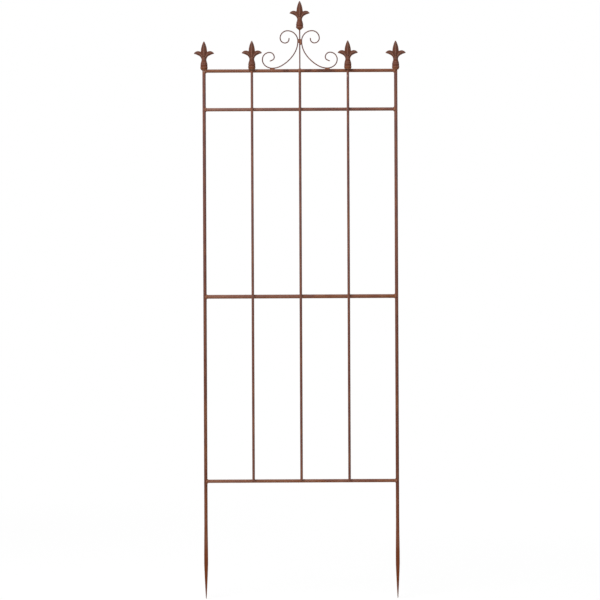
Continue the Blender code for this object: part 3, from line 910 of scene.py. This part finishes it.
def scroll_layout():
    """The route on its place, and the points where it touches the stem and the rail."""
    touch_x = STEM_RADIUS + SCROLL_STEM_GAP + WIRE_RADIUS
    reach = ROD_X["right_rod"] - SCROLL_PETAL_REACH + SCROLL_UNDER_PETAL - WIRE_RADIUS
    natural, _ = scroll_route(1)
    scale = (reach - touch_x) / max(point.x for point in natural)
    route, rail_touch = scroll_route(scale)
    crest = RAIL_Z["top_rail"] + RAIL_RADIUS
    touch_z = crest + SCROLL_RAIL_GAP + WIRE_RADIUS - rail_touch.y
    points = [Vector((touch_x + point.x, 0, touch_z + point.y)) for point in route]
    return points, touch_z, touch_x + rail_touch.x


def scrolls(points, material):
    """Wire bent cold round a former; the shears left its two ends slightly flat."""
    for node, mirror in (("left_scroll", -1), ("right_scroll", 1)):
        count = len(points)
        run = []
        for i, point in enumerate(points):
            end = min(i, count - 1 - i)
            girth = SHEARED_ENDS[end] if end < len(SHEARED_ENDS) else 1.0
            run.append(((point.x * mirror, point.y, point.z), girth))
        piece = linked(f"{node}_wire", line_mesh(node, [run]))
        shape(piece, TUBE, radius=WIRE_RADIUS, sides=WIRE_SIDES, material=material)
        roughened(piece, DRAWN_SKIN, SCROLL_SEED + mirror, material)
        finished(baked(piece), "rusted_bar", node)


# Finials


def bell_radius(height):
    share = min(1, max(0, (height - BELL_FOOT_Z) / BELL_HEIGHT))
    fall = math.cos(share * math.pi / 2) ** BELL_FALL
    return NECK_RADIUS + (BELL_RADIUS - NECK_RADIUS) * fall


def finial_profile(bar_radius, cone_bulge):
    """Radius and height from the foot up: cone, flange, beaded bell, neck and calyx."""
    rim = FLANGE_THICKNESS / 2
    edge = FLANGE_RADIUS - CAST_MARGIN
    low = bar_radius + SOCKET_WALL
    profile = [(0, 0), (low - FOOT_ROUNDING, 0)]
    for share in CONE_SHARES:
        width = low + (edge - FLANGE_OVER_CONE - low) * share**cone_bulge
        profile.append((width, FOOT_ROUNDING + (CONE_HEIGHT - 2 * FOOT_ROUNDING) * share))
    for turn in range(5):
        angle = math.radians(-60 + 30 * turn)
        width = edge - FLANGE_ROUNDING + FLANGE_ROUNDING * math.cos(angle)
        profile.append((width, CONE_HEIGHT + rim + rim * math.sin(angle)))
    profile.append((BELL_RADIUS - BELL_UNDER_FLANGE, BELL_FOOT_Z + BELL_SEAT))
    for share in BELL_BEADS_AT:
        middle = BELL_FOOT_Z + BELL_HEIGHT * share
        for turn in range(7):
            swing = -1 + turn / 3
            height = middle + swing * BEAD_HEIGHT / 2
            relief = BEAD_RELIEF * math.sqrt(max(0, 1 - swing * swing))
            profile.append((bell_radius(height) + relief - CAST_MARGIN, height))
    for share in BELL_TOP_SHARES:
        height = BELL_FOOT_Z + BELL_HEIGHT * share
        profile.append((bell_radius(height), height))
    for width, rise in CALYX:
        profile.append((NECK_RADIUS * width, NECK_Z + PETAL_RISE * rise))
    return profile


def turned(bm, profile):
    """Add a closed body of revolution about Z."""
    rings = []
    for radius, height in profile[1:-1]:
        ring = []
        for side in range(TURNED_SIDES):
            angle = math.tau * side / TURNED_SIDES
            place = (radius * math.cos(angle), radius * math.sin(angle), height)
            ring.append(bm.verts.new(place))
        rings.append(ring)
    wall(bm, rings)
    for ring, (_, height), outward in ((rings[0], profile[0], -1), (rings[-1], profile[-1], 1)):
        pole = bm.verts.new((0, 0, height))
        for i, vertex in enumerate(ring):
            pair = (vertex, ring[(i + 1) % TURNED_SIDES])
            bm.faces.new((*pair, pole) if outward > 0 else (*reversed(pair), pole))


def leaf_ring(centre, across, width, thickness, fullness):
    """A leaf section with a rib front and back, hollow flanks and blunt edges."""
    half_width = (CAST_POINT + (width - CAST_POINT) * fullness) / 2
    half_thickness = (CAST_POINT + (thickness - CAST_POINT) * fullness) / 2
    ring = []
    for side in range(LEAF_SIDES):
        angle = math.tau * (side + 0.5) / LEAF_SIDES
        u = math.copysign(abs(math.cos(angle)) ** 1.1, math.cos(angle))
        flank = LEAF_EDGE + (1 - LEAF_EDGE) * (1 - abs(u)) ** 1.12
        rib = RIB_HEIGHT * math.exp(-((u / RIB_WIDTH) ** 2))
        end = math.sqrt(max(0, 1 - abs(u) ** 8))
        v = math.copysign((flank * LEAF_BODY + rib) * end, math.sin(angle))
        ring.append(centre + across * (u * half_width) + Vector((0, v * half_thickness, 0)))
    return ring


def spear_rings():
    """Sections of the middle leaf from its root up, closer together near the point."""
    widest = SPEAR_RISE * SPEAR_BELLY
    length = SPEAR_RISE + PETAL_RISE * SPEAR_ROOT
    across = Vector((1, 0, 0))
    rings = []
    for i in range(SPEAR_STEPS + 1):
        share = (1 - i / SPEAR_STEPS) ** 1.6
        down = length * share
        if down < widest:
            fullness = (1 - (1 - down / widest) ** 1.9) ** 0.91
        else:
            fullness = 1 - SPEAR_WAIST * ease((down - widest) / (length - widest))
        centre = Vector((0, 0, FINIAL_HEIGHT - SPEAR_CROP - down))
        rings.append(leaf_ring(centre, across, SPEAR_WIDTH, SPEAR_THICKNESS, fullness))
    return rings


def petal_rings(mirror):
    """Sections of a side leaf along its bend, from the neck to the drooping tip."""
    root = Vector((NECK_RADIUS * 0.5, 0, NECK_Z))
    tip = Vector((PETAL_SPAN / 2, 0, PETAL_TOP_Z - PETAL_DROOP))
    rise = root + Vector((PETAL_SPAN * -0.01, 0, PETAL_RISE * 0.60))
    spread = tip + Vector((PETAL_SPAN * -0.26, 0, PETAL_RISE * 0.24))
    path = interpolate_bezier(root, rise, spread, tip, PETAL_STEPS)
    rings = []
    for step, point in enumerate(path):
        share = step / (len(path) - 1)
        before = path[max(0, step - 1)]
        after = path[min(len(path) - 1, step + 1)]
        along = (after - before).normalized()
        fullness = PETAL_STALK + (1 - PETAL_STALK) * ease(min(1, share / PETAL_BELLY))
        fullness *= 1 - share**PETAL_BLUNTNESS
        centre = Vector((point.x * mirror, 0, point.z))
        across = Vector((along.z * mirror, 0, -along.x))
        rings.append(leaf_ring(centre, across, PETAL_DEPTH, PETAL_THICKNESS, fullness))
    return rings


def cast_lily(node, foot, bar_radius, cone_bulge, material, seed):
    """A finial cast in one: its parts run together with small fillets and a gritty skin."""
    bm = bmesh.new()
    turned(bm, finial_profile(bar_radius, cone_bulge))
    for rings in (spear_rings(), petal_rings(-1), petal_rings(1)):
        leaf = mesh_of(skinned_rings(rings), "leaf")
        bm.from_mesh(leaf)
        bpy.data.meshes.remove(leaf)
    mesh = bpy.data.meshes.new(node)
    bm.to_mesh(mesh)
    bm.free()
    mesh.transform(Matrix.Translation(foot))
    piece = linked(f"{node}_casting", mesh)
    fused(piece, CAST_VOXEL, CAST_SMOOTHING)
    roughened(piece, CAST_SKIN, seed, material)
    piece = baked(piece)
    top = foot[2] + FINIAL_HEIGHT
    for vertex in piece.data.vertices:
        vertex.co.z = min(top, vertex.co.z)
    measured_fold(piece.data, CAST_FOLD_REACH)
    keep(piece.data, "rise", (coordinates(piece.data)[:, 2] - foot[2]) / FINIAL_HEIGHT)
    finished(piece, "rusted_casting", node)


def finials(crown_foot_z, material):
    post = (POST_RADIUS, POST_CONE_BULGE)
    rod = (ROD_RADIUS, ROD_CONE_BULGE)
    places = {
        "left_post_finial": ((-POST_X, 0, FINIAL_FOOT_Z), *post),
        "right_post_finial": ((POST_X, 0, FINIAL_FOOT_Z), *post),
        "left_rod_finial": ((ROD_X["left_rod"], ROD_Y, FINIAL_FOOT_Z), *rod),
        "right_rod_finial": ((ROD_X["right_rod"], ROD_Y, FINIAL_FOOT_Z), *rod),
        "centre_finial": ((0, 0, crown_foot_z), STEM_RADIUS, STEM_CONE_BULGE),
    }
    for seed, (node, (foot, bar_radius, cone_bulge)) in enumerate(places.items()):
        cast_lily(node, foot, bar_radius, cone_bulge, material, seed + FINIAL_SEED)


# Welds


def weld(node, runs, size, material, seed):
    """A bead laid along one or more lines, run together and frozen with its ripples."""
    piece = linked(f"{node}_bead", line_mesh(node, runs))
    laid = {"size": size, "spacing": DROP_STEP, "variation": DROP_VARIATION}
    shape(piece, BEAD, **laid, seed=seed, material=material)
    fused(piece, BEAD_VOXEL, BEAD_SMOOTHING)
    roughened(piece, BEAD_SKIN, seed, material)
    piece = baked(piece)
    measured_fold(piece.data, BEAD_FOLD_REACH)
    finished(piece, "weld_metal", node)


def turns(count, sweep=math.tau):
    """Even steps of an angle, with both ends."""
    return [sweep * i / count for i in range(count + 1)]


def swelling(points, least=0.7):
    """Thin the bead at both ends of its line."""
    last = len(points) - 1
    return [
        (point, least + (1 - least) * math.sin(math.pi * i / last) ** 0.5)
        for i, point in enumerate(points)
    ]


def rail_end_welds(material):
    """A fillet all round each rail end that fills the wedge up to the curve of the post."""
    for seed, (rail, height) in enumerate(RAIL_Z.items()):
        radius = rail_radius(rail)
        middle_y = radius - RAIL_RADIUS
        for side, mirror in (("left", -1), ("right", 1)):
            run = []
            for angle in turns(40):
                y = middle_y + radius * math.cos(angle)
                z = height + radius * math.sin(angle)
                bulge = math.sqrt(max(0, POST_RADIUS**2 - y * y))
                x = POST_X - (POST_RADIUS + bulge) / 2 - RAIL_END_INSET
                fill = 1 + 0.55 * math.cos(angle) ** 2
                lump = 1 + 0.12 * math.sin(2 * angle + seed * 1.7 + mirror)
                run.append(((mirror * x, y, z), fill * lump))
            chance = RAIL_END_SEED + seed * 2 + mirror
            weld(f"{side}_{rail}_weld", [run], RAIL_END_BEAD, material, chance)


def crossing_lines(x, height, radius, low, high):
    """Two lines in the corners beside a rod, over the front of a rail."""
    runs = []
    for mirror in (-1, 1):
        points = []
        for i in range(13):
            dz = low + (high - low) * i / 12
            depth = math.sqrt(max(0, radius**2 - dz * dz))
            y = min(radius - RAIL_RADIUS - depth, CORNER_FRONT) - CORNER_OUT
            points.append((x + mirror * ROD_RADIUS * CORNER_ACROSS, y, height + dz))
        runs.append(swelling(points))
    return runs


def rod_welds(material):
    """Beads in the corners of every crossing, carried round a rod's cropped end."""
    for seed, (rod, x) in enumerate(ROD_X.items()):
        for place, (rail, height) in enumerate(RAIL_Z.items()):
            radius = rail_radius(rail)
            low, high = -radius * CORNER_COVER, radius * CORNER_COVER
            end = None
            if rail == "bottom_rail":
                low, end = -ROD_END_PAST, -1
            if rail == "top_rail":
                high = ROD_END_PAST
                end = 1 if rod == "centre_rod" else None
            runs = crossing_lines(x, height, radius, low, high)
            if end:
                arch = []
                for angle in turns(8, math.pi):
                    across = x + ROD_RADIUS * ARCH_ACROSS * math.cos(angle)
                    reach = height + end * ARCH_RISE * math.sin(angle)
                    arch.append(((across, -RAIL_RADIUS - ARCH_OUT, reach), ARCH_GIRTH))
                runs.append(arch)
            chance = ROD_WELD_SEED + seed * 5 + place
            weld(f"{rod}_{rail}_weld", runs, ROD_BEAD, material, chance)


def crown_welds(touch_z, foot_x, material):
    """Welds at the stem's foot, under the scrolls and between scrolls and stem."""
    crest = RAIL_Z["top_rail"] + RAIL_RADIUS
    ring = []
    for angle in turns(24):
        y = (STEM_RADIUS + STEM_FOOT_OUT) * math.sin(angle)
        drop = RAIL_RADIUS - math.sqrt(RAIL_RADIUS**2 - y * y)
        x = (STEM_RADIUS + STEM_FOOT_OUT) * math.cos(angle)
        ring.append(((x, y, crest - drop + STEM_FOOT_RISE), STEM_FOOT_GIRTH))
    weld("stem_foot_weld", [ring], STEM_FOOT_BEAD, material, STEM_FOOT_SEED)
    for side, mirror in (("left", -1), ("right", 1)):
        runs = []
        for y in (-SCROLL_FOOT_SPREAD, SCROLL_FOOT_SPREAD):
            points = []
            for i in range(15):
                x = mirror * foot_x + SCROLL_FOOT_WELD_LENGTH * (i / 14 - 0.5)
                points.append((x, y, crest + SCROLL_FOOT_RISE))
            runs.append(swelling(points, 0.5))
        chance = SCROLL_FOOT_SEED + mirror
        weld(f"{side}_scroll_foot_weld", runs, SCROLL_FOOT_BEAD, material, chance)
        runs = []
        length = STEM_WELD_LENGTHS[side]
        low = touch_z - (length - STEM_WELD_LENGTHS["left"]) / 2 - length / 2
        x = mirror * (STEM_RADIUS + SCROLL_STEM_GAP / 2)
        for y in (-SCROLL_STEM_SPREAD, SCROLL_STEM_SPREAD):
            points = [(x, y, low + length * (0.06 + 0.88 * i / 16)) for i in range(17)]
            runs.append(swelling(points, 0.6))
        chance = SCROLL_STEM_SEED + mirror
        weld(f"{side}_scroll_stem_weld", runs, SCROLL_STEM_BEAD, material, chance)


def spatter(material):
    """Drops that flew from the welds and froze on the bars round them."""
    dice = random.Random(7)
    drops = []
    for rail, height in RAIL_Z.items():
        radius = rail_radius(rail)
        middle_y = radius - RAIL_RADIUS
        centres = [(-POST_X, 0, POST_RADIUS), (POST_X, 0, POST_RADIUS)]
        centres += [(x, ROD_Y, ROD_RADIUS) for x in ROD_X.values()]
        for x, y, upright_radius in centres:
            for _ in range(SPATTER_PER_JOINT):
                away = SPATTER_NEAREST + dice.expovariate(1 / SPATTER_SPREAD)
                side = dice.choice((-1, 1))
                angle = dice.uniform(-0.75, 0.75) * math.pi - math.pi / 2
                u, v = math.cos(angle), math.sin(angle)
                flown = x + side * away
                if dice.random() < 0.5 and abs(flown) < POST_X - SPATTER_NEAREST:
                    drops.append((flown, middle_y + radius * v, height + radius * u))
                    continue
                climb = side * away
                if rail == "top_rail":
                    climb = -away
                if rail == "bottom_rail" and abs(x) != POST_X:
                    climb = away
                drops.append((x + upright_radius * u, y + upright_radius * v, height + climb))
    mesh = bpy.data.meshes.new("weld_spatter")
    mesh.from_pydata(drops, [], [])
    piece = linked("weld_spatter", mesh)
    least, most = SPATTER_SIZES
    shape(piece, SPATTER, least=least, most=most, seed=SPATTER_SEED, material=material)
    piece = baked(piece)
    keep(piece.data, "fold", [SPATTER_FOLD] * len(piece.data.vertices))
    finished(piece, "weld_metal")


# Stage


def shown(nodes):
    """1 where the surface is seen, by itself or in a reflection, and 0 where it only lights."""
    path = nodes.tree.nodes.new("ShaderNodeLightPath")
    seen = Socket(nodes, path.outputs["Is Camera Ray"])
    for ray in ("Is Glossy Ray", "Is Transmission Ray"):
        seen = nodes.math("MAXIMUM", seen, Socket(nodes, path.outputs[ray]))
    return seen


def plain_stage():
    """A pale floor that keeps the shadow round the legs, white air and soft lamps."""
    scene = bpy.context.scene
    scene.view_settings.view_transform = "Standard"
    world = bpy.data.worlds.new("white_studio")
    world.use_nodes = True
    scene.world = world
    air = Nodes(world.node_tree)
    back = world.node_tree.nodes["Background"]
    air.feed(back.inputs["Color"], WHITE)
    air.feed(back.inputs["Strength"], shown(air) * (1 - WORLD_LEVEL) + WORLD_LEVEL)

    floor_paint = Finish("pale_floor")
    lit = floor_paint.add("ShaderNodeBsdfDiffuse", inputs={"Color": FLOOR_GREY})
    glow = floor_paint.add("ShaderNodeEmission", inputs={"Color": WHITE, "Strength": 1.0})
    white = shown(floor_paint) * (1 - floor_paint.near((0, 0, 0), SHADOW_REACH) * SHADOW_SHARE)
    both = floor_paint.add("ShaderNodeMixShader", inputs={0: white, 1: lit, 2: glow})
    output = floor_paint.tree.nodes["Material Output"]
    floor_paint.feed(output.inputs["Surface"], both)
    bm = bmesh.new()
    bmesh.ops.create_grid(bm, x_segments=1, y_segments=1, size=FLOOR_REACH)
    bmesh.ops.translate(bm, verts=bm.verts, vec=(0, 0, FLOOR_Z))
    floor = linked("floor", mesh_of(bm, "floor"))
    floor.data.materials.append(floor_paint.material)

    for name, place, size, power in LAMPS:
        lamp = bpy.data.lights.new(name, "AREA")
        lamp.shape = "DISK"
        lamp.size = size
        lamp.energy = power
        item = bpy.data.objects.new(name, lamp)
        item.location = place
        aim = Vector(LAMP_AIM) - Vector(place)
        item.rotation_euler = aim.to_track_quat("-Z", "Y").to_euler()
        scene.collection.objects.link(item)


def straight_on_camera():
    """A long lens at mid height, square to the panel, with the picture's slight roll."""
    lens = bpy.data.cameras.new("camera")
    camera = bpy.data.objects.new("camera", lens)
    bpy.context.scene.collection.objects.link(camera)
    bpy.context.scene.camera = camera
    lens.sensor_width = SENSOR_WIDTH
    lens.lens = SENSOR_WIDTH * CAMERA_DISTANCE / PICTURE_HEIGHT
    camera.location = (CAMERA_X, -CAMERA_DISTANCE, CAMERA_Z)
    camera.rotation_euler = (math.pi / 2, CAMERA_ROLL, 0)


# The trellis, piece by piece

TUBE = tube_form()
SKIN = skin_form()
BEAD = bead_form()
SPATTER = spatter_form()

post_steel = rusted_bar(
    "rusted_post", ALONG_Z, film=0.10, deepening=0.95, crest=0.35, highlights=POST_HIGHLIGHTS
)
rail_steel = rusted_bar(
    "rusted_rail",
    ALONG_X,
    warm=0.11,
    film=0.20,
    left_paling=0.17,
    deepening=0.0,
    right_darkening=0.34,
    crest=0.15,
    burns=RAIL_BURNS,
)
washed_steel = rusted_bar(
    "washed_rail", ALONG_X, film=0.18, left_paling=0.36, deepening=0.1, right_darkening=0.12
)
rod_steel = rusted_bar(
    "rusted_rod",
    ALONG_Z,
    warm=-0.02,
    film=0.10,
    left_paling=0.08,
    deepening=0.65,
    crest=0.35,
    highlights=ROD_HIGHLIGHTS,
)
wire_steel = rusted_bar("rusted_wire", EVEN, warm=-0.10, film=0.10)
lily_iron = rusted_casting("rusted_casting")
bead_metal = rusted_weld("rusted_weld")

posts(post_steel)
rails(rail_steel, washed_steel)
rods(rod_steel)
scroll_points, scroll_touch_z, scroll_foot_x = scroll_layout()
scrolls(scroll_points, wire_steel)
crown_z = max(point.z for point in scroll_points) + STEM_ABOVE_SCROLLS
stem_foot = (0, 0, RAIL_Z["top_rail"] + RAIL_RADIUS)
stem_top = (0, 0, crown_z + SOCKET_GRIP)
bar(
    "centre_stem", stem_foot, stem_top, STEM_RADIUS, STEM_SIDES, STEM_STEP, wire_steel, STEM_SEED
)
finials(crown_z, lily_iron)
rail_end_welds(bead_metal)
rod_welds(bead_metal)
crown_welds(scroll_touch_z, scroll_foot_x, bead_metal)
spatter(bead_metal)

plain_stage()
straight_on_camera()
